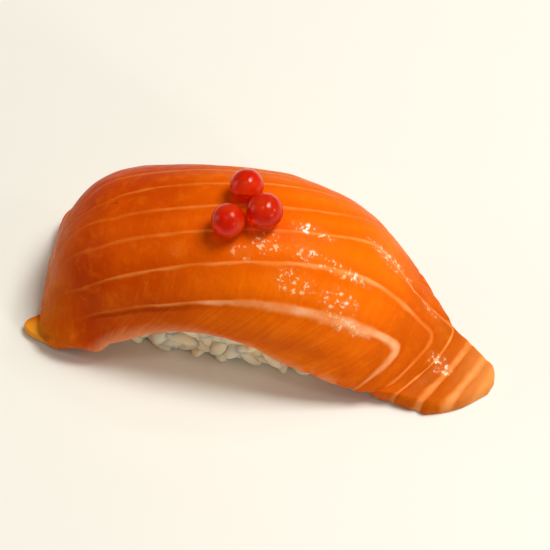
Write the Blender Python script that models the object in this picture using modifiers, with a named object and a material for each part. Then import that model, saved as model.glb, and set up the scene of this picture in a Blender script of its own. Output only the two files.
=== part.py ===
"""Salmon nigiri: a hand-pressed block of sushi rice, a slice of raw salmon over it, and three beads of roe.

The block stands on z = 0 with its long side along X. The slice's head end hangs down at -X, and its tail end
runs out to +X. The slice is drawn flat first, as points (along, across) from the middle of the rice's crest,
with its front side at negative values, and then laid over the block: every point slides down from the crest
line, as on a tablecloth, until it meets the plate. All sizes are in metres; MM turns millimetres into them.
"""
import math

import bmesh
import bpy
from mathutils import Vector, noise

MM = 0.001

# The crest line that the slice's underside lies on. It runs along X over the middle of the block.
CREST_HEAD = -17.4 * MM
CREST_TAIL = 4.5 * MM
CREST_HEIGHT = 24.2 * MM
CREST_RADIUS = 52.0 * MM

# How the slice bends down on its way from the crest: the radius, and the steepest slope that it reaches.
SIDE_RADIUS = 11.2 * MM
HEAD_RADIUS = 17.5 * MM
TAIL_RADIUS = 22.0 * MM
SIDE_SLOPE = math.radians(86)
HEAD_SLOPE = math.radians(73)
TAIL_SLOPE = math.radians(50)
END_SHARPNESS = 3.0
LANDING = 3.0 * MM
PLATE_GAP = 0.05 * MM
FALL_STEP = 0.5 * MM

# How much less steeply it hangs at its head corners, and along the front side on the way to the head.
BACK_CORNER_FLARE = math.radians(18)
FRONT_CORNER_FLARE = math.radians(19)
FRONT_CORNER_REACH = 2.6
FRONT_SPREAD = math.radians(13)
SPREAD_START = -3.0 * MM
SPREAD_SPAN = 20.0 * MM

# The outline of the flat slice, in millimetres. The long edges are (along, across) from the head to the tail.
# The short ones are (share of the width from front to back, along).
FRONT_EDGE = ((-40.0, -22.0), (-31.0, -22.3), (-25.0, -21.8), (-19.0, -20.1), (-12.0, -17.9), (-4.0, -16.8),
              (6.0, -18.5), (16.0, -19.9), (26.0, -19.6), (38.0, -19.0), (52.0, -18.5))
BACK_EDGE = ((-40.0, 18.0), (-5.0, 18.0), (5.0, 18.0), (15.0, 15.0), (25.0, 10.4), (35.0, 6.0), (45.0, 1.4),
             (52.0, -4.0))
HEAD_EDGE = ((0.0, -31.6), (0.05, -33.5), (0.15, -36.1), (0.3, -37.7), (0.5, -39.1), (0.65, -39.6),
             (0.8, -39.4), (0.9, -38.6), (1.0, -35.6))
TAIL_EDGE = ((0.0, 43.6), (0.1, 45.8), (0.3, 48.6), (0.5, 50.8), (0.7, 52.1), (0.85, 52.4), (1.0, 51.8))
FLAP_LENGTH = 4.8 * MM
FLAP_PLACE = 0.11
FLAP_WIDTH = 0.05

# The slice's thickness, and its mesh.
SLICE_THICKNESS = 4.0 * MM
HEAD_THINNING = 0.8
TAIL_THINNING = 0.65
HEAD_THINNING_SPAN = 0.25
TAIL_THINNING_SPAN = 0.45
RIM_ROUNDING = 1.4 * MM
RIM_ANGLE = math.radians(50)
LENGTH_CELLS = 50
WIDTH_CELLS = 20

# Touching pieces stay this far apart.
GAP = 0.3 * MM

# The rice block. It follows the slice's underside, then drops almost straight and tucks in at its foot.
RICE_CREST_DROP = 0.5 * MM
RICE_HEAD_RADIUS = 17.2 * MM
RICE_TAIL_RADIUS = 18.0 * MM
RICE_SIDE_RADIUS = 10.9 * MM
RICE_SLOPE = math.radians(84)
FOOT_HEIGHT = 4.0 * MM
FOOT_TUCK = math.radians(55)
GRAIN_CELL = 4.2 * MM
GRAIN_RELIEF = 0.9 * MM
RICE_RINGS = 22
RICE_SIDE_STEPS = 11
RICE_END_STEPS = 22

# The roe: (along, across) of each bead on the flat slice, and its radius.
ROE_BEADS = (
    (1.3 * MM, 1.7 * MM, 2.55 * MM),
    (4.7 * MM, -1.1 * MM, 2.75 * MM),
    (0.1 * MM, -2.7 * MM, 2.60 * MM),
)
ROE_SEGMENTS = 18
ROE_RINGS = 12


def blend(first, second, share):
    """The value `share` of the way from first to second."""
    return first + (second - first) * share


def ease(share):
    """0 to 1 with a soft start and end. It stays at 0 below 0, and at 1 above 1."""
    share = min(1.0, max(0.0, share))
    return share * share * (3 - 2 * share)


def bump(offset, width):
    """A soft hump of height 1 that dies away about `width` from its middle."""
    return math.exp(-((offset / width) ** 2))


def curve(table, place):
    """A smooth curve through a table of (place, value), level beyond its ends."""
    place = min(max(place, table[0][0]), table[-1][0])
    index = max(1, next(number for number, row in enumerate(table) if row[0] >= place))
    before, low, high, after = (table[max(0, index - 2)], table[index - 1], table[index],
                                table[min(len(table) - 1, index + 1)])
    span = high[0] - low[0]
    share = (place - low[0]) / span
    low_tilt = (high[1] - before[1]) / (high[0] - before[0]) * span
    high_tilt = (after[1] - low[1]) / (after[0] - low[0]) * span
    swing = share * (1 - share) * ((1 - share) * low_tilt - share * high_tilt)
    return blend(low[1], high[1], ease(share)) + swing


def crest_height(x):
    """The height of the crest line. It is an arc of a large circle, highest at the tail end."""
    return CREST_HEIGHT - (CREST_TAIL - x) ** 2 / (2 * CREST_RADIUS)


def crest_slope(x):
    """The slope of the crest line, down toward the head."""
    return math.atan((CREST_TAIL - x) / CREST_RADIUS)


def fall(run, start, first_slope, radius, steepest):
    """(reach, height) after a run down from the crest, bending, then levelling out on the plate."""
    reach, height, done = 0.0, start, 0.0
    while done < run:
        step = min(FALL_STEP, run - done)
        slope = min(first_slope + (done + step / 2) / radius, steepest) * min(1.0, height / LANDING)
        reach += math.cos(slope) * step
        height -= math.sin(slope) * step
        done += step
    return reach, height


def flare(seat, toward_end, toward_side):
    """How much less steeply the slice hangs in a direction from a seat on the crest."""
    to_head = max(0.0, -toward_end)
    if toward_side > 0:
        return BACK_CORNER_FLARE * (2 * to_head * toward_side) ** 2
    corner = FRONT_CORNER_FLARE * (FRONT_CORNER_REACH * to_head * toward_side ** 2) ** 2
    return corner + FRONT_SPREAD * ease((SPREAD_START - seat) / SPREAD_SPAN) * toward_side ** 2


def laid(along, across):
    """The place of the slice's underside at a point of the flat slice."""
    seat = min(max(along, CREST_HEAD), CREST_TAIL)
    beyond = along - seat
    run = max(math.hypot(beyond, across), 1e-9)
    toward_end, toward_side = beyond / run, across / run
    end_share = abs(toward_end) ** END_SHARPNESS
    to_head = max(0.0, -toward_end)
    end_radius, end_slope = (TAIL_RADIUS, TAIL_SLOPE) if beyond > 0 else (HEAD_RADIUS, HEAD_SLOPE)
    radius = blend(SIDE_RADIUS, end_radius, end_share)
    steepest = blend(SIDE_SLOPE, end_slope, end_share) - flare(seat, toward_end, toward_side)
    start = crest_height(seat) - math.tan(crest_slope(seat)) * run * to_head * (1 - to_head) ** 2
    reach, height = fall(run, start, crest_slope(seat) * to_head ** 2, radius, steepest)
    return Vector((seat + toward_end * reach, toward_side * reach, height + PLATE_GAP))


def outward(along, across):
    """The direction straight out of the slice at a point of the flat slice."""
    step = 0.5 * MM
    lengthwise = laid(along + step, across) - laid(along - step, across)
    crosswise = laid(along, across + step) - laid(along, across - step)
    return lengthwise.cross(crosswise).normalized()


def flat_point(u, v):
    """(along, across) on the flat slice for u from the head to the tail and v from the front to the back."""
    middle = blend(FRONT_EDGE[0][0], FRONT_EDGE[-1][0], u)
    head = curve(HEAD_EDGE, v) * MM - FLAP_LENGTH * bump(v - FLAP_PLACE, FLAP_WIDTH)
    tail = curve(TAIL_EDGE, v) * MM
    front, back = curve(FRONT_EDGE, middle) * MM, curve(BACK_EDGE, middle) * MM
    return blend(head, tail, u), blend(front, back, v)


def thickness_share(u):
    """The slice's thickness at a place along its length, as a share of the full one."""
    from_head = blend(HEAD_THINNING, 1.0, ease(u / HEAD_THINNING_SPAN))
    from_tail = blend(TAIL_THINNING, 1.0, ease((1 - u) / TAIL_THINNING_SPAN))
    return min(from_head, from_tail)


def rice_direction(step):
    """(x on the crest, direction round the block) for one of the even steps round its outline."""
    half_turn, rest = divmod(step, RICE_END_STEPS + RICE_SIDE_STEPS)
    start, stop = ((CREST_TAIL, CREST_HEAD), (CREST_HEAD, CREST_TAIL))[half_turn]
    end_share = min(1.0, rest / RICE_END_STEPS)
    side_share = max(0.0, (rest - RICE_END_STEPS) / RICE_SIDE_STEPS)
    return blend(start, stop, side_share), math.pi * (half_turn + end_share - 0.5)


def rice_profile(seat, direction):
    """Points (reach, height) at even steps down the block's side, from the crest to the plate."""
    toward_end = math.cos(direction)
    end_radius = RICE_TAIL_RADIUS if toward_end > 0 else RICE_HEAD_RADIUS
    radius = blend(RICE_SIDE_RADIUS, end_radius, abs(toward_end) ** END_SHARPNESS)
    first_slope = crest_slope(seat) * max(0.0, -toward_end)
    reach, height, done = 0.0, crest_height(seat) - RICE_CREST_DROP, 0.0
    points = [(reach, height)]
    while height > 0:
        tuck = FOOT_TUCK * max(0.0, 1 - height / FOOT_HEIGHT)
        slope = min(first_slope + (done + FALL_STEP / 2) / radius, RICE_SLOPE) + tuck
        reach += math.cos(slope) * FALL_STEP
        height -= math.sin(slope) * FALL_STEP
        done += FALL_STEP
        points.append((reach, max(height, 0.0)))
    return points


def grain_hollow(place):
    """How deep the surface lies between the rice's grains at a place, from 0 on a grain."""
    nearest = noise.voronoi(place / GRAIN_CELL)[0][0]
    return GRAIN_RELIEF * min(1.0, nearest)


def material_named(name, colour, roughness):
    """A plain material with a piece's own colour."""
    made = bpy.data.materials.new(name)
    made.use_nodes = True
    surface = made.node_tree.nodes["Principled BSDF"]
    surface.inputs["Base Color"].default_value = (*colour, 1)
    surface.inputs["Roughness"].default_value = roughness
    surface.inputs["Metallic"].default_value = 0.0
    made.diffuse_color = (*colour, 1)
    return made


def object_from(bm, name, material, collection):
    """Puts a bmesh in the scene as one named, smooth object."""
    mesh = bpy.data.meshes.new(name)
    bm.to_mesh(mesh)
    bm.free()
    mesh.materials.append(material)
    mesh.shade_smooth()
    made = bpy.data.objects.new(name, mesh)
    collection.objects.link(made)
    return made


def add_salmon_slice(material, collection):
    """The slice: a grid laid over the block, then given its thickness and a rounded rim."""
    bm = bmesh.new()
    bmesh.ops.create_grid(bm, x_segments=LENGTH_CELLS, y_segments=WIDTH_CELLS, size=0.5)
    shares = []
    for vert in bm.verts:
        u, v = vert.co.x + 0.5, vert.co.y + 0.5
        vert.co = laid(*flat_point(u, v))
        shares.append(thickness_share(u))
    made = object_from(bm, "salmon_slice", material, collection)
    group = made.vertex_groups.new(name="thickness")
    for index, share in enumerate(shares):
        group.add([index], share, "REPLACE")
    solid = made.modifiers.new("Thickness", "SOLIDIFY")
    solid.thickness = SLICE_THICKNESS
    solid.offset = 1.0
    solid.vertex_group = group.name
    rim = made.modifiers.new("Rim", "BEVEL")
    rim.width = RIM_ROUNDING
    rim.segments = 2
    rim.limit_method = "ANGLE"
    rim.angle_limit = RIM_ANGLE


def add_rice_block(material, collection):
    """The rice: the upper half of a sphere pushed out to the block's shape, with a flat foot."""
    bm = bmesh.new()
    around = 2 * (RICE_SIDE_STEPS + RICE_END_STEPS)
    bmesh.ops.create_uvsphere(bm, u_segments=around, v_segments=2 * RICE_RINGS, radius=1.0)
    below = [vert for vert in bm.verts if vert.co.z < -0.01]
    bmesh.ops.delete(bm, geom=below, context="VERTS")
    middle = (CREST_HEAD + CREST_TAIL) / 2
    profiles = [rice_profile(*rice_direction(step)) for step in range(around)]
    for vert in bm.verts:
        share = math.acos(max(0.0, min(1.0, vert.co.z))) / (math.pi / 2)
        if share < 0.5 / RICE_RINGS:
            vert.co = (middle, 0, crest_height(middle) - RICE_CREST_DROP)
            continue
        step = round(math.atan2(vert.co.y, vert.co.x) / math.tau * around) % around
        profile, (seat, direction) = profiles[step], rice_direction(step)
        place = share * (len(profile) - 1)
        upper = min(int(place), len(profile) - 2)
        reach = blend(profile[upper][0], profile[upper + 1][0], place - upper)
        height = blend(profile[upper][1], profile[upper + 1][1], place - upper)
        spot = Vector((seat + math.cos(direction) * reach, math.sin(direction) * reach, height))
        hollow = grain_hollow(spot)
        reach -= hollow * min(1.0, reach / SIDE_RADIUS)
        height -= hollow * height / CREST_HEIGHT
        vert.co = (seat + math.cos(direction) * reach, math.sin(direction) * reach, height)
    bmesh.ops.holes_fill(bm, edges=[edge for edge in bm.edges if edge.is_boundary], sides=0)
    bmesh.ops.recalc_face_normals(bm, faces=bm.faces)
    object_from(bm, "rice_block", material, collection)


def add_roe_bead(name, along, across, radius, material, collection):
    """One bead of roe, resting on the slice."""
    bm = bmesh.new()
    bmesh.ops.create_uvsphere(bm, u_segments=ROE_SEGMENTS, v_segments=ROE_RINGS, radius=radius)
    bead = object_from(bm, name, material, collection)
    lift = SLICE_THICKNESS + GAP + radius
    bead.location = laid(along, across) + outward(along, across) * lift


def main():
    """Clears the scene and makes the nigiri."""
    for old in list(bpy.data.objects):
        bpy.data.objects.remove(old)
    nigiri = bpy.data.collections.new("salmon_nigiri")
    bpy.context.scene.collection.children.link(nigiri)
    add_rice_block(material_named("rice", (0.80, 0.76, 0.66), 0.45), nigiri)
    add_salmon_slice(material_named("salmon", (0.80, 0.16, 0.01), 0.25), nigiri)
    roe = material_named("roe", (0.65, 0.01, 0.005), 0.1)
    for number, (along, across, radius) in enumerate(ROE_BEADS, 1):
        add_roe_bead(f"roe_bead_{number}", along, across, radius, roe, nigiri)


main()
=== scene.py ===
"""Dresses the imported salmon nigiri: a fine slice of salmon with its fat lines, rice of real grains, and roe.

The slice is drawn flat first, as points (along, across) from the middle of the rice's crest, with its front
side at negative values, and then laid over the block: every point slides down from the crest line, as on a
tablecloth, until it meets the plate. The fat lines are drawn on the flat slice too, so they follow the drape.

A value named RAMP is (start, end): the effect comes in softly from the one to the other.
"""
import math
import random
from functools import lru_cache

import bmesh
import bpy
from mathutils import Matrix, Vector, noise


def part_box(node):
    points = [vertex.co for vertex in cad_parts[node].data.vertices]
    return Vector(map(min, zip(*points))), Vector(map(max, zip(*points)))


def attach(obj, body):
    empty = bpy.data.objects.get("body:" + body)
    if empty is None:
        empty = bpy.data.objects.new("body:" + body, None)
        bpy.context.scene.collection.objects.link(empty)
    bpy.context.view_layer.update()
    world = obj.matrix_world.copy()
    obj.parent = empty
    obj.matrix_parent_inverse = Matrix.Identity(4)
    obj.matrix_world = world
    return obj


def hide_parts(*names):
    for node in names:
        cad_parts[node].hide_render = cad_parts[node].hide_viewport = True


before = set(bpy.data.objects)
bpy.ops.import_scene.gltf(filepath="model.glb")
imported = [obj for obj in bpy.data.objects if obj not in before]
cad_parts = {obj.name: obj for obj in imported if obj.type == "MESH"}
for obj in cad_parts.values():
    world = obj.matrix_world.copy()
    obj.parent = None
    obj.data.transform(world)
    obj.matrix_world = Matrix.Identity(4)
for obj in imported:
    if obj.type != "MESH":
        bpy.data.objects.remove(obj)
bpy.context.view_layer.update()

MM = 0.001
TINY = 1e-9

# The crest line that the slice's underside lies on, and how the slice bends down from it.
CREST_HEAD = -17.4 * MM
CREST_TAIL = 4.5 * MM
CREST_HEIGHT = 24.2 * MM
CREST_RADIUS = 52.0 * MM
SIDE_RADIUS = 11.2 * MM
HEAD_RADIUS = 17.5 * MM
TAIL_RADIUS = 22.0 * MM
SIDE_SLOPE = math.radians(86)
HEAD_SLOPE = math.radians(73)
TAIL_SLOPE = math.radians(50)
END_SHARPNESS = 3.0
LANDING = 3.0 * MM
PLATE_GAP = 0.05 * MM
FALL_STEP = 0.5 * MM

# How much less steeply it hangs at its head corners, and along the front side on the way to the head.
BACK_CORNER_FLARE = math.radians(18)
FRONT_CORNER_FLARE = math.radians(19)
FRONT_CORNER_REACH = 2.6
FRONT_SPREAD = math.radians(11)
SPREAD_START = -3.0 * MM
SPREAD_SPAN = 14.4 * MM

# The outline of the flat slice, in millimetres. The long edges are (along, across) from the head to the tail.
# The short ones are (share of the width from front to back, along).
FRONT_EDGE = ((-40.0, -22.3), (-31.0, -22.8), (-25.0, -22.7), (-19.0, -21.4), (-12.0, -19.2), (-4.0, -18.0),
              (6.0, -19.6), (16.0, -20.9), (26.0, -20.2), (38.0, -19.1), (52.0, -18.5))
BACK_EDGE = ((-40.0, 18.0), (-5.0, 18.0), (5.0, 18.0), (15.0, 15.0), (25.0, 10.4), (35.0, 6.0), (45.0, 1.4),
             (52.0, -4.0))
HEAD_EDGE = ((0.0, -32.0), (0.05, -34.2), (0.15, -36.9), (0.3, -38.8), (0.5, -40.3), (0.65, -40.8),
             (0.8, -40.7), (0.9, -40.0), (1.0, -36.5))
TAIL_EDGE = ((0.0, 43.9), (0.1, 46.2), (0.3, 49.2), (0.5, 51.4), (0.7, 52.8), (0.85, 53.1), (1.0, 52.4))
LENGTH = 92.0 * MM

# The small pointed flap at the front of the head end. Its place and width are shares of the slice's width.
FLAP_LENGTH = 5.2 * MM
FLAP_PLACE = 0.095
FLAP_WIDTH = 0.062
FLAP_THICKNESS = 1.6 * MM
FLAP_ROUNDING = 0.8 * MM

# How uneven the cuts are: (depth in millimetres, size along the edge, seed).
HEAD_RAGGED = (0.45, 0.07, 3.1)
TAIL_RAGGED = (0.35, 0.12, 9.4)
BACK_RAGGED = (0.4, 3.0, 5.2)
FRONT_RAGGED = (0.30, 3.0, 7.7)
FRONT_FINE_RAGGED = (0.10, 1.1, 1.3)

# Toward the tail the fat lines nick the front edge, some more deeply than others. In millimetres.
NOTCH_DEPTH = 0.45
NOTCH_SHARES = (0.4, 1.3)
NOTCH_RAGGED = (0.5, 2.0, 4.4)
NOTCH_WIDTH = 0.75
NOTCH_RAMP = (18.0, 28.0)

# The slice's thickness and its cut edges.
SLICE_THICKNESS = 4.0 * MM
THICKNESS_LIMIT = 5.0 * MM
HEAD_THINNING = 0.8
TAIL_THINNING = 0.65
HEAD_THINNING_SPAN = 0.25
TAIL_THINNING_SPAN = 0.45
CUT_ROUNDING = 1.5 * MM
CUT_FLOOR = 0.05
RIM_CELLS = 7
RIM_WIDTH = 5.0 * MM
LENGTH_CELLS = 330
WIDTH_CELLS = 125

# The numbers stored on the slice's points for its material.
STORED_NAMES = ("septum", "spacing", "fat_width", "fat_strength", "fibre", "depth", "along", "thin", "rim",
                "roe_glow", "wet_and_sheen")

# The swell of the surface: heights in millimetres, and the sizes and layers of its noise. It dips at the fat
# lines.
BROAD_SWELL = 0.22
BROAD_SWELL_SIZE = 9 * MM
SMALL_SWELL = 0.07
SMALL_SWELL_SIZE = 3 * MM
SMALL_SWELL_LAYER = 5 * MM
LINE_DIP = 0.06
TAIL_LINE_DIP = 0.20
TAIL_DIP_RAMP = (28.0, 38.0)
DIP_WIDTH = 0.4

# The septa: the thin sheets of fat between the bands of muscle. Each line's place is given where it crosses
# along = 0, with its slope, and then by where it crosses the tail.
LINE_ACROSS = ((0.0, -17.0), (1.0, -11.8), (2.0, -7.0), (3.0, -3.0), (4.0, 0.3), (5.0, 4.2), (6.0, 7.8),
               (7.0, 11.4))
LINE_SLOPE = ((0.0, 0.11), (1.0, 0.122), (2.0, 0.155), (3.0, 0.13), (4.0, 0.13), (5.0, 0.16), (7.0, 0.14))
LINE_RISE = ((0.0, 0.0), (1.0, 0.0), (2.0, 0.003), (3.0, 0.012), (4.0, 0.016), (5.0, 0.012), (7.0, 0.010))
LINE_RISE_START = 5.0
HEAD_BEND = 0.008
HEAD_BEND_START = -14.0
LINE_ALONG = ((0.0, 29.5), (1.0, 33.6), (2.0, 37.5), (3.0, 41.4), (4.0, 45.6), (5.0, 49.6), (6.0, 52.4))
TAIL_LINE_SLOPE = 0.3
TAIL_LINE_SIDE = -8.0
CORNER_SHARPNESS = 3.8
LAST_LINE = 7.0
LOWEST_NICKED = 0.6
LINE_PASSES = 3
PROBE_STEP = 0.3
LEAST_CHANGE = 1e-3

# The fibres' lean against the fat lines: (toward the head, toward the tail), and where it changes along the
# slice, in millimetres, and from band to band, in line numbers.
HEAD_LEAN = 0.2
HEAD_LEAN_RAMP = (-24.0, -8.0)
FRONT_LEAN = (1.35, 0.5)
FRONT_LEAN_RAMP = (-6.0, 26.0)
MIDDLE_LEAN = (0.34, 0.08)
MIDDLE_LEAN_RAMP = (-8.0, 10.0)
MIDDLE_BAND_RAMP = (0.92, 1.08)
FAR_LEAN = 0.15
FAR_BAND_RAMP = (2.0, 2.3)

# Half the width of the fat lines, in millimetres. The first line is thick until it turns down to the edge.
LINE_REACH = 0.45
TURN_RAMP = (11.5, 15.5)
LEAST_WIDTH = 0.17
FIRST_WIDTH = 0.50
FIRST_WIDTH_RAMP = (-8.0, 17.0)
TURNED_WIDTH = 0.2
SECOND_WIDTH = 0.16
SECOND_WIDTH_RAMP = (4.0, 28.0)
TAIL_WIDTH_RAMP = (33.0, 40.0)
TAIL_WIDTHS = ((0.14, (2.5, 3.0)), (0.22, (3.3, 3.8)))

# How strongly the fat lines show, from 0 to 1, and where along the slice or from which line number.
PLAIN_STRENGTH = (0.30, 0.62)
PLAIN_RAMP = (-20.0, 25.0)
FIRST_STRENGTH = 0.55
FIRST_RAMP = (-18.0, 4.0)
SECOND_STRENGTH = 0.12
TURNED_STRENGTH = 0.6
TAIL_TURN_STRENGTH = 0.75
TAIL_TURN_RAMP = (30.0, 34.0)
TAIL_TURN_LINE_RAMP = (1.5, 1.8)
FIRST_LINE_RAMP = (0.55, 0.75)
HEAD_FADE_RAMP = (-30.0, -15.0)
FAR_LINE_RAMP = (3.4, 3.7)
FAR_FADE_RAMP = (14.0, 20.0)
FAR_RETURN_RAMP = (38.0, 42.0)
TAIL_STRENGTH = 0.45
TAIL_STRENGTH_RAMP = (36.0, 44.0)

# Wet spots on the flat slice that catch the light with their coat and ripples, and that carry a painted sheen
# and
# painted highlight flecks: (along, across, length, width, strength), in millimetres.
WET_AND_SHEEN_SPOTS = ((2.6, -5.5, 1.8, 0.9, 1.0), (5.8, -3.9, 2.2, 1.4, 1.0), (-7.2, -6.0, 2.0, 1.6, 0.38),
             (10.7, -7.4, 3.6, 1.6, 0.9), (17.8, -7.4, 3.6, 1.5, 1.0), (21.0, -9.7, 5.2, 1.0, 1.0),
             (15.0, -4.1, 6.5, 0.9, 1.0), (11.5, -0.7, 3.4, 0.8, 0.9), (24.5, 1.8, 5.8, 1.1, 1.0),
             (41.5, -6.5, 2.6, 1.6, 0.9), (44.5, -8.5, 2.2, 1.5, 0.8), (36.0, 0.5, 3.0, 1.0, 0.7))
RIPPLE_SIZE = 0.95 * MM
RIPPLE_LAYER = 9 * MM
RIPPLE_HEIGHT = 0.09
RIPPLE_GAIN = 1.5

# The rice block's outline.
RICE_CREST_DROP = 0.5 * MM
RICE_HEAD_RADIUS = 17.2 * MM
RICE_TAIL_RADIUS = 18.0 * MM
RICE_SIDE_RADIUS = 10.9 * MM
RICE_SLOPE = math.radians(84)
FOOT_HEIGHT = 4.0 * MM
FOOT_TUCK = math.radians(55)
CORE_DEPTH = 0.85 * MM
CORE_AROUND = 64
CORE_RINGS = 16
CORE_LUMPS = 0.35 * MM
CORE_LUMP_SIZE = 1.6 * MM
CORE_FLOOR = 0.25 * MM
FULL_DEPTH = 0.999

# The grains: their sizes, and their scatter over the block's sides and foot. Insets and the foot's spans are
# in millimetres.
GRAIN_SEED = 11
GRAIN_TRIES = 16000
GRAIN_SPACING = 2.05 * MM
GRAIN_LENGTH = (5.0 * MM, 6.6 * MM)
GRAIN_WIDTH = (2.6 * MM, 3.2 * MM)
GRAIN_DEPTH = (2.3 * MM, 2.7 * MM)
GRAIN_INSET = (1.1, 1.7)
GRAIN_TOP = 0.12
GRAIN_DROP = 0.87
GRAIN_LIFT = 0.9 * MM
GRAIN_FLOOR = 0.02 * MM
FOOT_SHARE = 0.16
FOOT_ALONG = (-25, 21)
FOOT_ACROSS = (-10.5, 10.5)
FOOT_LIFT = 1.0 * MM
FOOT_MIDDLE = -2.2 * MM
FOOT_HALF_LENGTH = 23.5 * MM
FOOT_HALF_WIDTH = 10.6 * MM

# One grain's shape: its bend in millimetres, the share that it narrows by to one end, how blunt its ends are,
# how flat it lies on the block, and how much it points up or down.
GRAIN_BEND = (-0.5, 0.5)
GRAIN_TAPER = (0.0, 0.25)
TAPER_RAMP = (-0.4, 1.0)
GRAIN_BLUNTNESS = 2.6
LEAST_ROUNDNESS = 0.05
GRAIN_FLATTENING = (0.6, 1.0)
GRAIN_RISE = 0.8
GRAIN_SEGMENTS = 10
GRAIN_RINGS = 7

# The roe, and the painted red glow that its light casts on the flesh round it, whose places are in
# millimetres.
# Each bead leans on a point under the slice's crest, and its flattening is in shares of its radius. Cells are
# counted round a ball, then down it.
BEADS = (1, 2, 3)
ROE_GLOW_PLACES = ((1.3, 1.7), (4.7, -1.1), (0.1, -2.7))
ROE_GLOW_WIDTH = 3.3 * MM
BEAD_SWELL = 1.05
REST_SETBACK = 1.0 * MM
REST_DEPTH = 18 * MM
BEAD_SINK = 0.42 * MM
FLAT_START = 0.78
FLATNESS = 0.8
SKIN_CELLS = (40, 24)
YOLK_SIZE = 0.36
YOLK_CELLS = (24, 14)
YOLK_HEIGHTS = (-0.2, 0.8)

# Noise scales of the materials, in lumps to the metre.
DRIFT_SCALE = 150
UNEVENNESS_SCALE = 300
FADE_SCALE = 170
BLOTCH_SCALE = 110
MOTTLE_SCALE = 480
PATCH_SCALE = 260
SWELL_SCALE = 430
GRIT_SCALE = 1300

# The salmon's colours. The flesh changes along the slice: (from, to, colour), in millimetres.
HEAD_END_COLOUR = (0.72, 0.160, 0.001)
FLESH_BANDS = ((-34.0, -22.0, (0.55, 0.048, 0.0)), (-16.0, 7.0, (0.92, 0.162, 0.001)),
               (24.0, 34.0, (0.62, 0.098, 0.001)), (35.0, 42.0, (0.55, 0.108, 0.002)))
BLOTCH_COLOUR = (0.95, 0.17, 0.002)
MOTTLE_COLOUR = (0.98, 0.23, 0.006)
DARK_FIBRE_COLOUR = (0.55, 0.058, 0.0005)
PALE_FIBRE_COLOUR = (0.96, 0.23, 0.012)
HALO_COLOUR = (0.58, 0.055, 0.0005)
# Painted light: the red glow of the roe's light on the flesh round the beads.
ROE_GLOW_COLOUR = (0.76, 0.030, 0.0)
# Painted shade: the dark line of a crease below the first fat line.
CREASE_SHADE_COLOUR = (0.30, 0.022, 0.0)
FAINT_FAT_COLOUR = (0.99, 0.30, 0.012)
FULL_FAT_COLOUR = (1.0, 0.44, 0.22)
RIM_COLOUR = (0.90, 0.33, 0.14)
TIP_COLOUR = (0.90, 0.34, 0.08)
FLAP_COLOUR = (1.0, 0.40, 0.03)
# Painted sheen: the lighter tint put on the wet spots.
PAINTED_SHEEN_COLOUR = (1.0, 0.28, 0.03)
# Painted highlights: pale flecks that stand in for glints.
PAINTED_GLINT_COLOUR = (1.0, 0.62, 0.32)

# The other colours, as pairs that their noise mixes.
# The rice pair is warmed toward orange: partly the rice's own cream, partly painted bounce light from the
# salmon.
RICE_COLOURS = ((0.95, 0.73, 0.48), (0.98, 0.85, 0.66))
SKIN_COLOURS = ((0.86, 0.020, 0.001), (0.95, 0.055, 0.003))
YOLK_COLOURS = ((0.45, 0.004, 0.001), (0.6, 0.012, 0.002))
FLOOR_COLOURS = ((0.87, 0.87, 0.83), (0.89, 0.89, 0.85))

# The floor, the lights and the camera. A light is (name, direction, distance, size, watts).
FLOOR_SIZE = 2.0
FLOOR_DROP = 0.1 * MM
LIGHT_COLOUR = (1.0, 0.98, 0.92)
LIGHTS = (("key", (0.37, 0.16, 0.91), 0.9, 0.32, 6.7),
          ("fill", (-0.95, -0.12, 0.30), 0.9, 0.40, 0.9),
          ("lamp_0", (-0.08, -0.24, 0.97), 1.0, 0.12, 0.6),
          ("lamp_1", (0.80, -0.52, 0.30), 1.0, 0.12, 1.5),
          ("lamp_2", (0.90, 0.10, 0.42), 1.0, 0.12, 0.7),
          ("lamp_3", (0.38, 0.48, 0.79), 1.0, 0.12, 0.6))
ROOM_COLOUR = (1.0, 0.87, 0.66, 1)
ROOM_STRENGTH = 0.17
CAMERA_TARGET = (6, 0, 11)
CAMERA_AZIMUTH = math.radians(13)
CAMERA_ELEVATION = math.radians(56)
CAMERA_DISTANCE = 0.42
CAMERA_LENS = 170.0


def blend(first, second, share):
    """The value `share` of the way from first to second."""
    return first + (second - first) * share


def ease(share):
    """0 to 1 with a soft start and end. It stays at 0 below 0, and at 1 above 1."""
    share = min(1.0, max(0.0, share))
    return share * share * (3 - 2 * share)


def ramp(value, start, end):
    """0 at start and 1 at end, eased between them."""
    return ease((value - start) / (end - start))


def bump(offset, width):
    """A soft hump of height 1 that dies away about `width` from its middle."""
    return math.exp(-((offset / width) ** 2))


def curve(table, place):
    """A smooth curve through a table of (place, value), level beyond its ends."""
    place = min(max(place, table[0][0]), table[-1][0])
    index = max(1, next(number for number, row in enumerate(table) if row[0] >= place))
    before, low, high = table[max(0, index - 2)], table[index - 1], table[index]
    after = table[min(len(table) - 1, index + 1)]
    span = high[0] - low[0]
    share = (place - low[0]) / span
    low_tilt = (high[1] - before[1]) / (high[0] - before[0]) * span
    high_tilt = (after[1] - low[1]) / (after[0] - low[0]) * span
    swing = share * (1 - share) * ((1 - share) * low_tilt - share * high_tilt)
    return blend(low[1], high[1], ease(share)) + swing


def read_table(table, value, back=False):
    """Straight-line reading of a table of (number, place), carried on past its ends. back swaps columns."""
    rows = [(place, number) for number, place in table] if back else table
    for (low, at_low), (high, at_high) in zip(rows, rows[1:]):
        if value <= high or (high, at_high) == rows[-1]:
            return blend(at_low, at_high, (value - low) / (high - low))


# ---------------------------------------------------------------- the slice

def crest_height(x):
    """The height of the crest line. It is an arc of a large circle, highest at the tail end."""
    return CREST_HEIGHT - (CREST_TAIL - x) ** 2 / (2 * CREST_RADIUS)


def crest_slope(x):
    """The slope of the crest line, down toward the head."""
    return math.atan((CREST_TAIL - x) / CREST_RADIUS)


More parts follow.
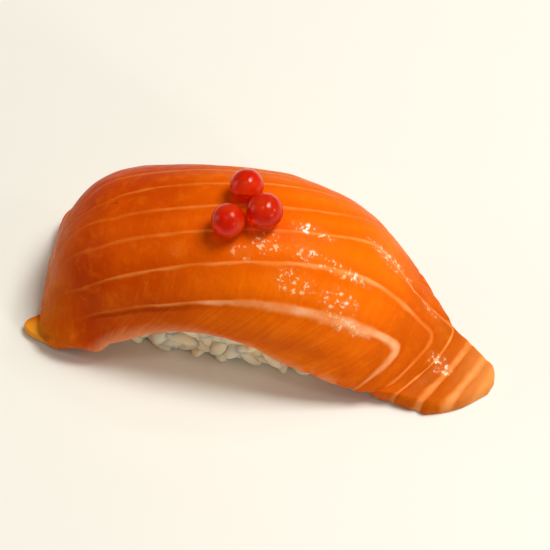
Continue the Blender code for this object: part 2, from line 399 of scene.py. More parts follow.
def fall(run, start, first_slope, radius, steepest):
    """(reach, height) after a run down from the crest, bending, then levelling out on the plate."""
    reach, height, done = 0.0, start, 0.0
    while done < run:
        step = min(FALL_STEP, run - done)
        slope = min(first_slope + (done + step / 2) / radius, steepest) * min(1.0, height / LANDING)
        reach += math.cos(slope) * step
        height -= math.sin(slope) * step
        done += step
    return reach, height


def flare(seat, toward_end, toward_side):
    """How much less steeply the slice hangs in a direction from a seat on the crest."""
    to_head = max(0.0, -toward_end)
    if toward_side > 0:
        return BACK_CORNER_FLARE * (2 * to_head * toward_side) ** 2
    corner = FRONT_CORNER_FLARE * (FRONT_CORNER_REACH * to_head * toward_side ** 2) ** 2
    return corner + FRONT_SPREAD * ease((SPREAD_START - seat) / SPREAD_SPAN) * toward_side ** 2


def laid(along, across):
    """The place of the slice's underside at a point of the flat slice."""
    seat = min(max(along, CREST_HEAD), CREST_TAIL)
    beyond = along - seat
    run = max(math.hypot(beyond, across), TINY)
    toward_end, toward_side = beyond / run, across / run
    end_share = abs(toward_end) ** END_SHARPNESS
    to_head = max(0.0, -toward_end)
    end_radius, end_slope = (TAIL_RADIUS, TAIL_SLOPE) if beyond > 0 else (HEAD_RADIUS, HEAD_SLOPE)
    radius = blend(SIDE_RADIUS, end_radius, end_share)
    steepest = blend(SIDE_SLOPE, end_slope, end_share) - flare(seat, toward_end, toward_side)
    start = crest_height(seat) - math.tan(crest_slope(seat)) * run * to_head * (1 - to_head) ** 2
    reach, height = fall(run, start, crest_slope(seat) * to_head ** 2, radius, steepest)
    return Vector((seat + toward_end * reach, toward_side * reach, height + PLATE_GAP))


def ragged(place, depth, size, seed):
    """An uneven cut: smooth noise along an edge, up to its depth either way."""
    return depth * noise.noise(Vector((place / size, seed, 0.5)))


def head_edge(v):
    """Where the slice's head ends, without the flap."""
    return (curve(HEAD_EDGE, v) + ragged(v, *HEAD_RAGGED)) * MM


@lru_cache
def side_edges(u):
    """(front, back) of the flat slice at a place along it. Toward the tail the fat lines nick the front."""
    middle = blend(FRONT_EDGE[0][0], FRONT_EDGE[-1][0], u)
    front = curve(FRONT_EDGE, middle) + ragged(middle, *FRONT_RAGGED) + ragged(middle, *FRONT_FINE_RAGGED)
    back = curve(BACK_EDGE, middle) + ragged(middle, *BACK_RAGGED)
    along = blend(HEAD_EDGE[0][1], TAIL_EDGE[0][1], u)
    number = septum_number(along, front)
    gap = abs(number - round(number)) * septum_spacing(number, along, front)
    nick = NOTCH_DEPTH * blend(*NOTCH_SHARES, 0.5 + ragged(middle, *NOTCH_RAGGED))
    return front + nick * bump(gap, NOTCH_WIDTH) * ramp(along, *NOTCH_RAMP) * (number > LOWEST_NICKED), back


def flat_point(u, v):
    """(along, across) on the flat slice for u from the head to the tail and v from the front to the back."""
    front, back = side_edges(u)
    head = head_edge(v) - FLAP_LENGTH * math.exp(-(abs(v - FLAP_PLACE) / FLAP_WIDTH) ** 3)
    tail = (curve(TAIL_EDGE, v) + ragged(v, *TAIL_RAGGED)) * MM
    return blend(head, tail, u), blend(front, back, v) * MM


def rim_spread(share, cells, span):
    """Turns an even share across the slice into one with its outermost cells packed into the rounded rim."""
    rim_share, rim_width = RIM_CELLS / cells, CUT_ROUNDING / span
    if share < rim_share:
        return rim_width * (1 - math.cos(share / rim_share * math.pi / 2))
    if share > 1 - rim_share:
        return 1 - rim_spread(1 - share, cells, span)
    return blend(rim_width, 1 - rim_width, (share - rim_share) / (1 - 2 * rim_share))


def cut_profile(distance, width):
    """The thickness near a cut edge: a quarter of an ellipse that rises from the floor to full height."""
    inside = 1 - min(1.0, max(0.0, distance / width))
    return blend(CUT_FLOOR, 1.0, math.sqrt(1 - inside * inside))


def septum_number(along, across):
    """Which fat line a point of the flat slice lies on, in millimetres: whole numbers are on the lines."""
    rise = max(0.0, along - LINE_RISE_START) ** 2
    bend = HEAD_BEND * max(0.0, HEAD_BEND_START - along) ** 2
    lengthwise = 0.0
    for _ in range(LINE_PASSES):
        level = max(0.0, min(LAST_LINE, lengthwise))
        shift = read_table(LINE_SLOPE, level) * along + read_table(LINE_RISE, level) * rise - bend
        lengthwise = read_table(LINE_ACROSS, across - shift, back=True)
    tailwise = read_table(LINE_ALONG, along - TAIL_LINE_SLOPE * (across - TAIL_LINE_SIDE), back=True)
    highest = max(lengthwise, tailwise)
    spread = sum(math.exp(CORNER_SHARPNESS * (each - highest)) for each in (lengthwise, tailwise))
    return highest + math.log(spread) / CORNER_SHARPNESS


def septum_spacing(number, along, across):
    """Millimetres from one fat line to the next, round a point of the flat slice."""
    change_along = septum_number(along + PROBE_STEP, across) - number
    change_across = septum_number(along, across + PROBE_STEP) - number
    return PROBE_STEP / max(LEAST_CHANGE, math.hypot(change_along, change_across))


def fibre_place(number, along, across):
    """(place across the fibres, place along them) in millimetres. The fibres lean more in the front band."""
    first_line = read_table(LINE_ACROSS, 1.0) + read_table(LINE_SLOPE, 1.0) * along
    below = across - first_line
    front_lean = blend(*FRONT_LEAN, ramp(along, *FRONT_LEAN_RAMP))
    front_lean = blend(HEAD_LEAN, front_lean, ramp(along, *HEAD_LEAN_RAMP))
    middle_lean = blend(*MIDDLE_LEAN, ramp(along, *MIDDLE_LEAN_RAMP))
    lean = blend(front_lean, middle_lean, ramp(number, *MIDDLE_BAND_RAMP))
    lean = blend(lean, FAR_LEAN, ramp(number, *FAR_BAND_RAMP))
    return along - lean * below, below


def fat_width(number, along, across):
    """Half the width of the fat line near a point, in millimetres. The first line thins where it turns."""
    turned = blend(1.0, TURNED_WIDTH, ramp(-across, *TURN_RAMP))
    first = FIRST_WIDTH * ramp(along, *FIRST_WIDTH_RAMP) * bump(number - 1, LINE_REACH) * turned
    second = SECOND_WIDTH * ramp(along, *SECOND_WIDTH_RAMP) * bump(number - 2, LINE_REACH)
    tail = sum(width * ramp(number, *numbers) for width, numbers in TAIL_WIDTHS)
    return LEAST_WIDTH + first + second + ramp(along, *TAIL_WIDTH_RAMP) * tail


def fat_strength(number, along, across):
    """How strongly the fat line near a point shows, from 0 to 1."""
    strength = blend(*PLAIN_STRENGTH, ramp(along, *PLAIN_RAMP))
    strength += FIRST_STRENGTH * ramp(along, *FIRST_RAMP) * bump(number - 1, LINE_REACH)
    strength += SECOND_STRENGTH * bump(number - 2, LINE_REACH)
    strength *= blend(1.0, TURNED_STRENGTH, ramp(-across, *TURN_RAMP) * bump(number - 1, LINE_REACH))
    tail_turn = ramp(along, *TAIL_TURN_RAMP) * ramp(number, *TAIL_TURN_LINE_RAMP)
    strength *= blend(1.0, TAIL_TURN_STRENGTH, tail_turn)
    strength *= ramp(number, *FIRST_LINE_RAMP) * ramp(along, *HEAD_FADE_RAMP)
    far_lines = ramp(number, *FAR_LINE_RAMP) * ramp(along, *FAR_FADE_RAMP)
    strength *= blend(1.0, ramp(along, *FAR_RETURN_RAMP), far_lines)
    return min(1.0, strength + TAIL_STRENGTH * ramp(along, *TAIL_STRENGTH_RAMP))


def wetness_and_sheen(along, across):
    """How wet the slice is at a point of it, from 0 to 1. The painted sheen and the painted highlight flecks
    follow it too.
    """
    return max(strength * bump(math.hypot((along - x) / length, (across - y) / width), 1.0)
               for x, y, length, width, strength in WET_AND_SHEEN_SPOTS)


def lumps(along, across, size, layer):
    """Smooth noise from -1 to 1 over the flat slice, in one of its layers."""
    return noise.noise(Vector((along, across, layer)) / size)


def swell(number, spacing, wet_and_sheen, along, across):
    """How far the slice swells at a point, in millimetres: lumps, dips at the fat lines, and wet ripples."""
    line_gap = abs(number - round(number)) * spacing
    tailward = ramp(along / MM, *TAIL_DIP_RAMP)
    height = lumps(along, across, BROAD_SWELL_SIZE, 0) * BROAD_SWELL
    height += lumps(along, across, SMALL_SWELL_SIZE, SMALL_SWELL_LAYER) * SMALL_SWELL
    height -= (LINE_DIP + TAIL_LINE_DIP * tailward) * bump(line_gap, DIP_WIDTH) * (number > LOWEST_NICKED)
    rippled = min(1.0, wet_and_sheen * RIPPLE_GAIN)
    return height + lumps(along, across, RIPPLE_SIZE, RIPPLE_LAYER) * RIPPLE_HEIGHT * rippled


def salmon_slice(material, roe_glow_places):
    """The slice: a fine grid laid over the block and thickened outward, with numbers for its material."""
    bm = bmesh.new()
    bmesh.ops.create_grid(bm, x_segments=LENGTH_CELLS, y_segments=WIDTH_CELLS, size=0.5)
    layers = [bm.verts.layers.float.new(name) for name in STORED_NAMES]
    shares = []
    for vert in bm.verts:
        u = rim_spread(vert.co.x + 0.5, LENGTH_CELLS, LENGTH)
        along, front = flat_point(u, 0.0)
        width = flat_point(u, 1.0)[1] - front
        v = rim_spread(vert.co.y + 0.5, WIDTH_CELLS, width)
        along, across = flat_point(u, v)
        side_gap, tail_gap = min(v, 1 - v) * width, (1 - u) * LENGTH
        body_gap = min(side_gap, tail_gap, along - head_edge(v))
        flap_gap = min(side_gap, tail_gap, u * LENGTH)
        share = min(blend(HEAD_THINNING, 1.0, ease(u / HEAD_THINNING_SPAN)),
                    blend(TAIL_THINNING, 1.0, ease((1 - u) / TAIL_THINNING_SPAN)))
        point = (along / MM, across / MM)
        number = septum_number(*point)
        spacing = septum_spacing(number, *point)
        wet_and_sheen = wetness_and_sheen(*point)
        full = SLICE_THICKNESS * share + swell(number, spacing, wet_and_sheen, along, across) * MM
        thickness = max(full * cut_profile(body_gap, CUT_ROUNDING),
                        FLAP_THICKNESS * cut_profile(flap_gap, FLAP_ROUNDING))
        # Painted light: the roe's red glow on the flesh round each bead.
        roe_glow = max(bump((Vector((along, across)) - place).length, ROE_GLOW_WIDTH) for place in roe_glow_places)
        vert.co = laid(along, across)
        fibre, depth = fibre_place(number, *point)
        rim = 1 - min(1.0, v * width / RIM_WIDTH)
        line = (number, spacing, fat_width(number, *point), fat_strength(number, *point))
        for layer, value in zip(layers, line + (fibre, depth, along / MM, thickness / MM, rim, roe_glow, wet_and_sheen)):
            vert[layer] = value
        shares.append(thickness / THICKNESS_LIMIT)
    piece = piece_from(bm, "salmon_flesh", material)
    group = piece.vertex_groups.new(name="thickness")
    for index, share in enumerate(shares):
        group.add([index], share, "REPLACE")
    solid = piece.modifiers.new("Thickness", "SOLIDIFY")
    solid.thickness = THICKNESS_LIMIT
    solid.offset = 1.0
    solid.vertex_group = group.name
    return piece


# ---------------------------------------------------------------- the rice

def rice_way(share):
    """(x on the crest, direction) for a share of the way round the block: tail end, back, head end, front."""
    straight = CREST_TAIL - CREST_HEAD
    bend = math.pi * RICE_SIDE_RADIUS
    place = (share % 1.0) * (2 * (straight + bend))
    if place < bend:
        return CREST_TAIL, math.pi * (place / bend - 0.5)
    if place < bend + straight:
        return CREST_TAIL - (place - bend), math.pi / 2
    if place < 2 * bend + straight:
        return CREST_HEAD, math.pi * ((place - bend - straight) / bend + 0.5)
    return CREST_HEAD + (place - 2 * bend - straight), math.pi * 1.5


def rice_profile(seat, direction):
    """Points (reach, height) at even steps down the block's side, from the crest to the plate."""
    toward_end = math.cos(direction)
    end_radius = RICE_TAIL_RADIUS if toward_end > 0 else RICE_HEAD_RADIUS
    radius = blend(RICE_SIDE_RADIUS, end_radius, abs(toward_end) ** END_SHARPNESS)
    first_slope = crest_slope(seat) * max(0.0, -toward_end)
    reach, height, done = 0.0, crest_height(seat) - RICE_CREST_DROP, 0.0
    points = [(reach, height)]
    while height > 0:
        tuck = FOOT_TUCK * max(0.0, 1 - height / FOOT_HEIGHT)
        slope = min(first_slope + (done + FALL_STEP / 2) / radius, RICE_SLOPE) + tuck
        reach += math.cos(slope) * FALL_STEP
        height -= math.sin(slope) * FALL_STEP
        done += FALL_STEP
        points.append((reach, max(height, 0.0)))
    return points


def rice_point(share, depth_share, inset):
    """(place, outward direction) on the block for a share of the way round and of the way down its side."""
    seat, direction = rice_way(share)
    profile = rice_profile(seat, direction)
    place = depth_share * (len(profile) - 2)
    upper = int(place)
    (reach, height), (next_reach, next_height) = profile[upper], profile[upper + 1]
    run, drop = next_reach - reach, height - next_height
    size = max(TINY, math.hypot(run, drop))
    out_level, out_up = drop / size, run / size
    reach = blend(reach, next_reach, place - upper) - inset * out_level
    height = blend(height, next_height, place - upper) - inset * out_up
    level = Vector((math.cos(direction), math.sin(direction), 0))
    outward = level * out_level + Vector((0, 0, out_up))
    return Vector((seat, 0, height)) + level * max(0.0, reach), outward


def rice_core(material):
    """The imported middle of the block, which shows only in the gaps between the grains."""
    bm = bmesh.new()
    bmesh.ops.create_uvsphere(bm, u_segments=CORE_AROUND, v_segments=2 * CORE_RINGS, radius=1.0)
    bmesh.ops.delete(bm, geom=[vert for vert in bm.verts if vert.co.z < -0.01], context="VERTS")
    middle = (CREST_HEAD + CREST_TAIL) / 2
    for vert in bm.verts:
        depth_share = math.acos(max(0.0, min(1.0, vert.co.z))) / (math.pi / 2)
        if depth_share < 0.5 / CORE_RINGS:
            vert.co = (middle, 0, crest_height(middle) - RICE_CREST_DROP - CORE_DEPTH)
            continue
        share = (math.atan2(vert.co.y, vert.co.x) + math.pi / 2) / math.tau
        place, outward = rice_point(share, min(depth_share, FULL_DEPTH), CORE_DEPTH)
        place += outward * CORE_LUMPS * noise.noise(place / CORE_LUMP_SIZE)
        place.z = max(CORE_FLOOR, place.z)
        vert.co = place
    bmesh.ops.holes_fill(bm, edges=[edge for edge in bm.edges if edge.is_boundary], sides=0)
    bmesh.ops.recalc_face_normals(bm, faces=bm.faces)
    return piece_from(bm, "rice_core", material)


def under_foot(place):
    """Whether a place lies under the block's rounded oblong foot."""
    return (abs(place.y) / FOOT_HALF_WIDTH) ** 3 + (abs(place.x - FOOT_MIDDLE) / FOOT_HALF_LENGTH) ** 4 <= 1


def grain_places(rng):
    """Scattered (place, outward) pairs for grains on the block's sides and under its foot."""
    places = []
    for _ in range(GRAIN_TRIES):
        inset = rng.uniform(*GRAIN_INSET) * MM
        place, outward = rice_point(rng.random(), GRAIN_TOP + GRAIN_DROP * rng.random(), inset)
        if rng.random() < FOOT_SHARE:
            place = Vector((rng.uniform(*FOOT_ALONG) * MM, rng.uniform(*FOOT_ACROSS) * MM, FOOT_LIFT))
            outward = Vector((0, 0, -1))
            if not under_foot(place):
                continue
        place.z = max(place.z, GRAIN_LIFT)
        if all((place - other).length > GRAIN_SPACING for other, _ in places):
            places.append((place, outward))
    return places


def grain_mesh(rng, place, outward):
    """One cooked grain in place: short, plump and slightly bent."""
    bm = bmesh.new()
    bmesh.ops.create_uvsphere(bm, u_segments=GRAIN_SEGMENTS, v_segments=GRAIN_RINGS, radius=1.0)
    length, width, depth = (rng.uniform(*span) / 2 for span in (GRAIN_LENGTH, GRAIN_WIDTH, GRAIN_DEPTH))
    bend, taper, _ = rng.uniform(*GRAIN_BEND) * MM, rng.uniform(*GRAIN_TAPER), rng.random()
    side = Vector((rng.gauss(0, 1), rng.gauss(0, 1), rng.gauss(0, GRAIN_RISE)))
    lengthwise = (side - outward * side.dot(outward) * rng.uniform(*GRAIN_FLATTENING)).normalized()
    widthwise = outward.cross(lengthwise).normalized()
    turn = Matrix((lengthwise, widthwise, lengthwise.cross(widthwise))).transposed()
    for vert in bm.verts:
        x = vert.co.z
        blunted = (1 - abs(x) ** GRAIN_BLUNTNESS) ** 0.5 / max(LEAST_ROUNDNESS, (1 - x * x) ** 0.5)
        plump = (1 - taper * ramp(x, *TAPER_RAMP)) * blunted
        bowed = vert.co.x * width * plump + bend * (1 - x * x)
        vert.co = place + turn @ Vector((x * length, bowed, vert.co.y * depth * plump))
        vert.co.z = max(vert.co.z, GRAIN_FLOOR)
    mesh = bpy.data.meshes.new("grain")
    bm.to_mesh(mesh)
    bm.free()
    return mesh


def rice_grains(material):
    """Cooked grains stuck together, one piece."""
    rng = random.Random(GRAIN_SEED)
    bm = bmesh.new()
    for place, outward in grain_places(rng):
        grain = grain_mesh(rng, place, outward)
        bm.from_mesh(grain)
        bpy.data.meshes.remove(grain)
    return piece_from(bm, "rice_grains", material)


# ---------------------------------------------------------------- the roe

def roe_bead(number, skin, yolk):
    """One bead of roe: a taut clear skin, a little flattened where it rests, with its denser yolk inside."""
    low, high = (Vector(corner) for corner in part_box(f"roe_bead_{number}"))
    centre, radius = (low + high) / 2, (high.z - low.z) / 2 * BEAD_SWELL
    rest = Vector((centre.x - REST_SETBACK, 0, centre.z - REST_DEPTH))
    down = (rest - centre).normalized()
    centre += down * BEAD_SINK
    bm = bmesh.new()
    bmesh.ops.create_uvsphere(bm, u_segments=SKIN_CELLS[0], v_segments=SKIN_CELLS[1], radius=radius)
    for vert in bm.verts:
        sag = max(0.0, vert.co.dot(down) - radius * FLAT_START)
        vert.co -= down * sag * FLATNESS
        vert.co += centre
    skin_piece = piece_from(bm, f"roe_skin_{number}", skin)
    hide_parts(f"roe_bead_{number}")
    bm = bmesh.new()
    yolk_radius = radius * YOLK_SIZE
    bmesh.ops.create_uvsphere(bm, u_segments=YOLK_CELLS[0], v_segments=YOLK_CELLS[1], radius=yolk_radius)
    rng = random.Random(number)
    aside = Vector((rng.uniform(-1, 1), rng.uniform(-1, 1), rng.uniform(*YOLK_HEIGHTS))).normalized()
    bmesh.ops.translate(bm, verts=bm.verts, vec=centre + aside * radius * YOLK_SIZE)
    yolk_piece = piece_from(bm, f"roe_yolk_{number}", yolk)
    return skin_piece, yolk_piece


# ---------------------------------------------------------------- materials

def feed(tree, source, socket):
    """Links a socket to another node's output, or sets it to a plain value."""
    if isinstance(source, bpy.types.NodeSocket):
        tree.links.new(source, socket)
    else:
        socket.default_value = source


def maths(tree, operation, *values):
    """One Math node."""
    made = tree.nodes.new("ShaderNodeMath")
    made.operation = operation
    for source, socket in zip(values, made.inputs):
        feed(tree, source, socket)
    return made.outputs[0]


def product(tree, first, *others):
    """Several numbers multiplied, one after the other."""
    for other in others:
        first = maths(tree, "MULTIPLY", first, other)
    return first


def step_up(tree, value, low, high, start=0.0, end=1.0):
    """A soft step from start to end as value goes from low to high."""
    made = tree.nodes.new("ShaderNodeMapRange")
    made.interpolation_type = "SMOOTHSTEP"
    names = ("Value", "From Min", "From Max", "To Min", "To Max")
    for source, name in zip((value, low, high, start, end), names):
        feed(tree, source, made.inputs[name])
    return made.outputs["Result"]


def mixed(tree, share, first, second):
    """One colour mixed into another."""
    made = tree.nodes.new("ShaderNodeMix")
    made.data_type = "RGBA"
    feed(tree, share, made.inputs["Factor"])
    for source, name in ((first, "A"), (second, "B")):
        socket = next(each for each in made.inputs if each.name == name and each.type == "RGBA")
        feed(tree, source if isinstance(source, bpy.types.NodeSocket) else (*source, 1), socket)
    return next(each for each in made.outputs if each.type == "RGBA")


def speckle(tree, vector, scale, detail=2.0, roughness=0.5):
    """Smooth noise from 0 to 1, scale in lumps to the metre or to the unit of its vector."""
    made = tree.nodes.new("ShaderNodeTexNoise")
    feed(tree, vector, made.inputs["Vector"])
    made.inputs["Scale"].default_value = scale
    made.inputs["Detail"].default_value = detail
    made.inputs["Roughness"].default_value = roughness
    return made.outputs["Fac"]


def stored(tree, name):
    """A number stored on the piece's points."""
    made = tree.nodes.new("ShaderNodeAttribute")
    made.attribute_name = name
    return made.outputs["Fac"]


def joined(tree, x, y, z):
    """A vector from three numbers."""
    made = tree.nodes.new("ShaderNodeCombineXYZ")
    for source, socket in zip((x, y, z), made.inputs):
        feed(tree, source, socket)
    return made.outputs[0]


def object_place(tree):
    """The place on the piece, in metres."""
    return tree.nodes.new("ShaderNodeTexCoord").outputs["Object"]


def raised(tree, height, distance):
    """A Bump node's normal."""
    made = tree.nodes.new("ShaderNodeBump")
    made.inputs["Distance"].default_value = distance
    feed(tree, height, made.inputs["Height"])
    return made.outputs["Normal"]


def new_material(name):
    """(material, its node tree, its Principled BSDF)."""
    made = bpy.data.materials.new(name)
    made.use_nodes = True
    return made, made.node_tree, made.node_tree.nodes["Principled BSDF"]


def fat_line(tree, place, number, nearest, gap):
    """How strongly a point shows a fat line: uneven in width, broken up, and softer on its lower side."""
    unevenness = step_up(tree, speckle(tree, place, UNEVENNESS_SCALE), 0.3, 0.7, 0.7, 1.2)
    half = product(tree, stored(tree, "fat_width"), unevenness)
    softness = step_up(tree, maths(tree, "SUBTRACT", number, nearest), -0.04, 0.04, 2.6, 1.5)
    line = step_up(tree, gap, product(tree, half, 0.3), product(tree, half, softness), 1.0, 0.0)
    fade = step_up(tree, speckle(tree, place, FADE_SCALE), 0.35, 0.65, 0.6, 1.1)
    return product(tree, line, maths(tree, "MULTIPLY", stored(tree, "fat_strength"), fade))


def muscle_colour(tree, place, along, number, fibre):
    """The flesh between the fat lines: bands along the slice, blotches, mottling and fibres."""
    flesh = HEAD_END_COLOUR
    for start, end, colour in FLESH_BANDS:
        flesh = mixed(tree, step_up(tree, along, start, end), flesh, colour)
    blotch = speckle(tree, place, BLOTCH_SCALE, 3)
    flesh = mixed(tree, step_up(tree, blotch, 0.35, 0.7, 0.0, 0.35), flesh, BLOTCH_COLOUR)
    mottle = speckle(tree, place, MOTTLE_SCALE, 3, 0.6)
    flesh = mixed(tree, step_up(tree, mottle, 0.50, 0.68, 0.0, 0.20), flesh, MOTTLE_COLOUR)
    fibred = product(tree, step_up(tree, number, 0.9, 1.1, 1.0, 0.55),
                     step_up(tree, number, 1.7, 2.3, 1.0, 0.3))
    dark_fibre = product(tree, step_up(tree, fibre, 0.38, 0.60, 0.20, 0.0), fibred)
    flesh = mixed(tree, dark_fibre, flesh, DARK_FIBRE_COLOUR)
    pale_fibre = product(tree, step_up(tree, fibre, 0.52, 0.74, 0.0, 0.30), fibred)
    return mixed(tree, pale_fibre, flesh, PALE_FIBRE_COLOUR)


def crease_shade(tree, along, number):
    """Painted shade: a dark crease line painted just below the first fat line, toward the head."""
    nearness = maths(tree, "ABSOLUTE", maths(tree, "SUBTRACT", number, 0.88))
    return product(tree, step_up(tree, nearness, 0.0, 0.12, 0.55, 0.0), step_up(tree, along, -24.0, -18.0),
                   step_up(tree, along, 4.0, -10.0))


def pale_rim(tree, place, along, fibre):
    """The pale rim along the front edge, frayed by the fibres and patchy toward the tail."""
    frayed = maths(tree, "MULTIPLY", maths(tree, "SUBTRACT", fibre, 0.5), 0.2)
    edge = maths(tree, "ADD", stored(tree, "rim"), frayed)
    patchy = step_up(tree, speckle(tree, place, PATCH_SCALE), 0.46, 0.58)
    return product(tree, step_up(tree, edge, 0.40, 0.85, 0.0, 0.8),
                   step_up(tree, along, 4.0, 18.0, 1.0, patchy),
                   step_up(tree, along, 32.0, 26.0), step_up(tree, along, -30.0, -20.0))


def flap_share(tree, along):
    """The thin flap at the front of the head end, where the light comes through."""
    return product(tree, step_up(tree, stored(tree, "thin"), 1.7, 2.4, 0.8, 0.0),
                   step_up(tree, along, -33.0, -36.0), step_up(tree, stored(tree, "depth"), 0.0, -2.0))


def salmon_material():
    """Raw salmon: orange flesh with fine fibres, pale fat lines, a thin pink rim and wet spots, with painted
    highlight flecks and a painted sheen on the wet spots, a painted crease shade, and a painted red glow round
    the roe.
    """
    made, tree, surface = new_material("raw_salmon")
    place = object_place(tree)
    along = stored(tree, "along")
    wet_and_sheen = stored(tree, "wet_and_sheen")
    drift = product(tree, maths(tree, "SUBTRACT", speckle(tree, place, DRIFT_SCALE), 0.5), 0.10)
    number = maths(tree, "ADD", stored(tree, "septum"), drift)
    nearest = maths(tree, "ROUND", number)
    offset = maths(tree, "ABSOLUTE", maths(tree, "SUBTRACT", number, nearest))
    gap = product(tree, offset, stored(tree, "spacing"))
    line = fat_line(tree, place, number, nearest, gap)
    band = maths(tree, "FLOOR", number)
    fibre_point = joined(tree, stored(tree, "fibre"), product(tree, stored(tree, "depth"), 0.10),
                         product(tree, band, 3.7))
    fibre = speckle(tree, fibre_point, 1.5, 3.0, 0.6)

    flesh = muscle_colour(tree, place, along, number, fibre)
    halo = step_up(tree, gap, 0.2, 2.2, 1.0, 0.0)
    flesh = mixed(tree, product(tree, halo, 0.28), flesh, HALO_COLOUR)
    # Painted light: the flesh is reddened round the beads, as the roe's light would tint it.
    flesh = mixed(tree, product(tree, stored(tree, "roe_glow"), 0.45), flesh, ROE_GLOW_COLOUR)
    # Painted shade of a crease just below the first fat line.
    flesh = mixed(tree, crease_shade(tree, along, number), flesh, CREASE_SHADE_COLOUR)
    paleness = product(tree, line, step_up(tree, number, 1.4, 1.8, 1.0, 0.7),
                       step_up(tree, along, 28.0, 36.0, 1.0, 0.75))
    flesh = mixed(tree, line, flesh, mixed(tree, paleness, FAINT_FAT_COLOUR, FULL_FAT_COLOUR))
    flesh = mixed(tree, pale_rim(tree, place, along, fibre), flesh, RIM_COLOUR)
    flesh = mixed(tree, step_up(tree, along, 45.0, 52.0, 0.0, 0.6), flesh, TIP_COLOUR)
    flesh = mixed(tree, flap_share(tree, along), flesh, FLAP_COLOUR)
    # Painted sheen: the wet spots are painted lighter.
    flesh = mixed(tree, step_up(tree, wet_and_sheen, 0.1, 0.7, 0.0, 0.16), flesh, PAINTED_SHEEN_COLOUR)
    # Painted highlights: small pale flecks in the wet spots stand in for glints.
    fine_spots = speckle(tree, place, GRIT_SCALE, 2, 0.6)
    painted_glint = product(tree, step_up(tree, fine_spots, 0.545, 0.645, 0.0, 0.85), step_up(tree, wet_and_sheen, 0.25, 0.65))
    feed(tree, mixed(tree, painted_glint, flesh, PAINTED_GLINT_COLOUR), surface.inputs["Base Color"])

    broad = speckle(tree, place, SWELL_SCALE)
    grit = speckle(tree, place, GRIT_SCALE)
    height = maths(tree, "ADD", product(tree, grit, 0.35), product(tree, broad, 0.9))
    height = maths(tree, "ADD", height, product(tree, fibre, 0.35))
    height = maths(tree, "ADD", height, product(tree, line, 0.5))
    feed(tree, raised(tree, height, 0.20 * MM), surface.inputs["Normal"])
    feed(tree, step_up(tree, broad, 0.3, 0.7, 0.28, 0.42), surface.inputs["Roughness"])
    film = product(tree, wet_and_sheen, step_up(tree, fine_spots, 0.44, 0.56))
    feed(tree, step_up(tree, film, 0.15, 0.6, 0.0, 1.0), surface.inputs["Coat Weight"])
    surface.inputs["Coat Roughness"].default_value = 0.12
    surface.inputs["Subsurface Weight"].default_value = 0.2
    surface.inputs["Subsurface Radius"].default_value = (1.0, 0.20, 0.02)
    surface.inputs["Subsurface Scale"].default_value = 2.0 * MM
    surface.inputs["Specular IOR Level"].default_value = 0.06
    surface.inputs["IOR"].default_value = 1.28
    return made


def rice_material():
    """Cooked rice: translucent white, warmed toward orange as painted bounce light from the salmon, with a
    moist sheen.
    """
    made, tree, surface = new_material("cooked_rice")
    place = object_place(tree)
    shade = step_up(tree, speckle(tree, place, 300), 0.3, 0.7)
    feed(tree, mixed(tree, shade, *RICE_COLOURS), surface.inputs["Base Color"])
    feed(tree, raised(tree, speckle(tree, place, 900), 0.08 * MM), surface.inputs["Normal"])
    feed(tree, step_up(tree, speckle(tree, place, 700), 0.3, 0.7, 0.30, 0.5), surface.inputs["Roughness"])
    surface.inputs["Subsurface Weight"].default_value = 0.8
    surface.inputs["Subsurface Radius"].default_value = (1.0, 0.90, 0.75)
    surface.inputs["Subsurface Scale"].default_value = 1.0 * MM
    return made


def roe_skin_material():
    """The bead's skin: clear, red and very glossy."""
    made, tree, surface = new_material("roe_skin")
    place = object_place(tree)
    tint = step_up(tree, speckle(tree, place, 330, 1), 0.35, 0.65)
    feed(tree, mixed(tree, tint, *SKIN_COLOURS), surface.inputs["Base Color"])
    feed(tree, raised(tree, speckle(tree, place, 700, 1), 0.04 * MM), surface.inputs["Normal"])
    surface.inputs["Roughness"].default_value = 0.08
    surface.inputs["Specular IOR Level"].default_value = 0.28
    surface.inputs["Transmission Weight"].default_value = 0.5
    surface.inputs["Subsurface Weight"].default_value = 0.7
    surface.inputs["Subsurface Radius"].default_value = (1.0, 0.12, 0.03)
    surface.inputs["Subsurface Scale"].default_value = 2.2 * MM
    surface.inputs["IOR"].default_value = 1.36
    return made


def roe_yolk_material():
    """The denser yolk inside a bead."""
    made, tree, surface = new_material("roe_yolk")
    colour = mixed(tree, speckle(tree, object_place(tree), 600, 1), *YOLK_COLOURS)
    feed(tree, colour, surface.inputs["Base Color"])
    surface.inputs["Roughness"].default_value = 0.4
    return made


def floor_material():
    """The plain pale floor."""
    made, tree, surface = new_material("pale_floor")
    colour = mixed(tree, speckle(tree, object_place(tree), 40, 3), *FLOOR_COLOURS)
    feed(tree, colour, surface.inputs["Base Color"])
    surface.inputs["Roughness"].default_value = 0.5
    return made


# ---------------------------------------------------------------- putting it together

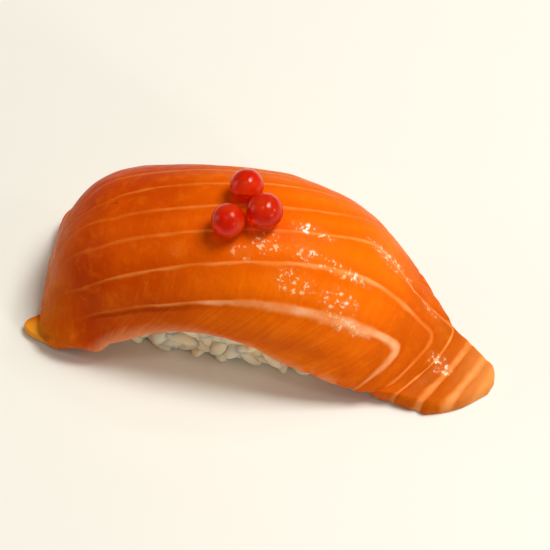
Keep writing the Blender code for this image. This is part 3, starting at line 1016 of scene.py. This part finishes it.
def piece_from(bm, name, material):
    """Puts a bmesh in the scene as one smooth piece on the nigiri's only body."""
    mesh = bpy.data.meshes.new(name)
    bm.to_mesh(mesh)
    bm.free()
    mesh.materials.append(material)
    mesh.shade_smooth()
    piece = bpy.data.objects.new(name, mesh)
    bpy.context.scene.collection.objects.link(piece)
    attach(piece, "root")
    return piece


def area_light(name, direction, distance, size, power):
    """A square soft light that looks at the nigiri from a direction."""
    data = bpy.data.lights.new(name, "AREA")
    data.size = size
    data.energy = power
    data.color = LIGHT_COLOUR
    light = bpy.data.objects.new(name, data)
    bpy.context.scene.collection.objects.link(light)
    toward = Vector(direction).normalized()
    light.location = toward * distance
    light.rotation_euler = toward.to_track_quat("Z", "Y").to_euler()


def studio():
    """The floor, the lights and the room's soft light."""
    bpy.ops.mesh.primitive_plane_add(size=FLOOR_SIZE, location=(0, 0, -FLOOR_DROP))
    floor = bpy.context.object
    floor.name = "floor"
    floor.data.materials.append(floor_material())
    for light in LIGHTS:
        area_light(*light)
    world = bpy.data.worlds.new("soft_room")
    world.use_nodes = True
    world.node_tree.nodes["Background"].inputs["Color"].default_value = ROOM_COLOUR
    world.node_tree.nodes["Background"].inputs["Strength"].default_value = ROOM_STRENGTH
    bpy.context.scene.world = world
    bpy.context.scene.view_settings.view_transform = "Standard"


def view():
    """The camera, from above the front side."""
    level = math.cos(CAMERA_ELEVATION)
    away = Vector((math.sin(CAMERA_AZIMUTH) * level, -math.cos(CAMERA_AZIMUTH) * level,
                   math.sin(CAMERA_ELEVATION)))
    data = bpy.data.cameras.new("camera")
    data.lens = CAMERA_LENS
    camera = bpy.data.objects.new("camera", data)
    camera.location = Vector(CAMERA_TARGET) * MM + away * CAMERA_DISTANCE
    camera.rotation_euler = away.to_track_quat("Z", "Y").to_euler()
    bpy.context.scene.collection.objects.link(camera)
    bpy.context.scene.camera = camera


def main():
    """Makes every piece, then the studio and the view."""
    roe_glow_places = [Vector(place) * MM for place in ROE_GLOW_PLACES]
    slice_piece = salmon_slice(salmon_material(), roe_glow_places)
    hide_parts("salmon_slice")
    rice = rice_material()
    for piece in (rice_core(rice), rice_grains(rice)):
        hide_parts("rice_block")
    skin, yolk = roe_skin_material(), roe_yolk_material()
    for number in BEADS:
        for piece in roe_bead(number, skin, yolk):
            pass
    studio()
    view()


main()
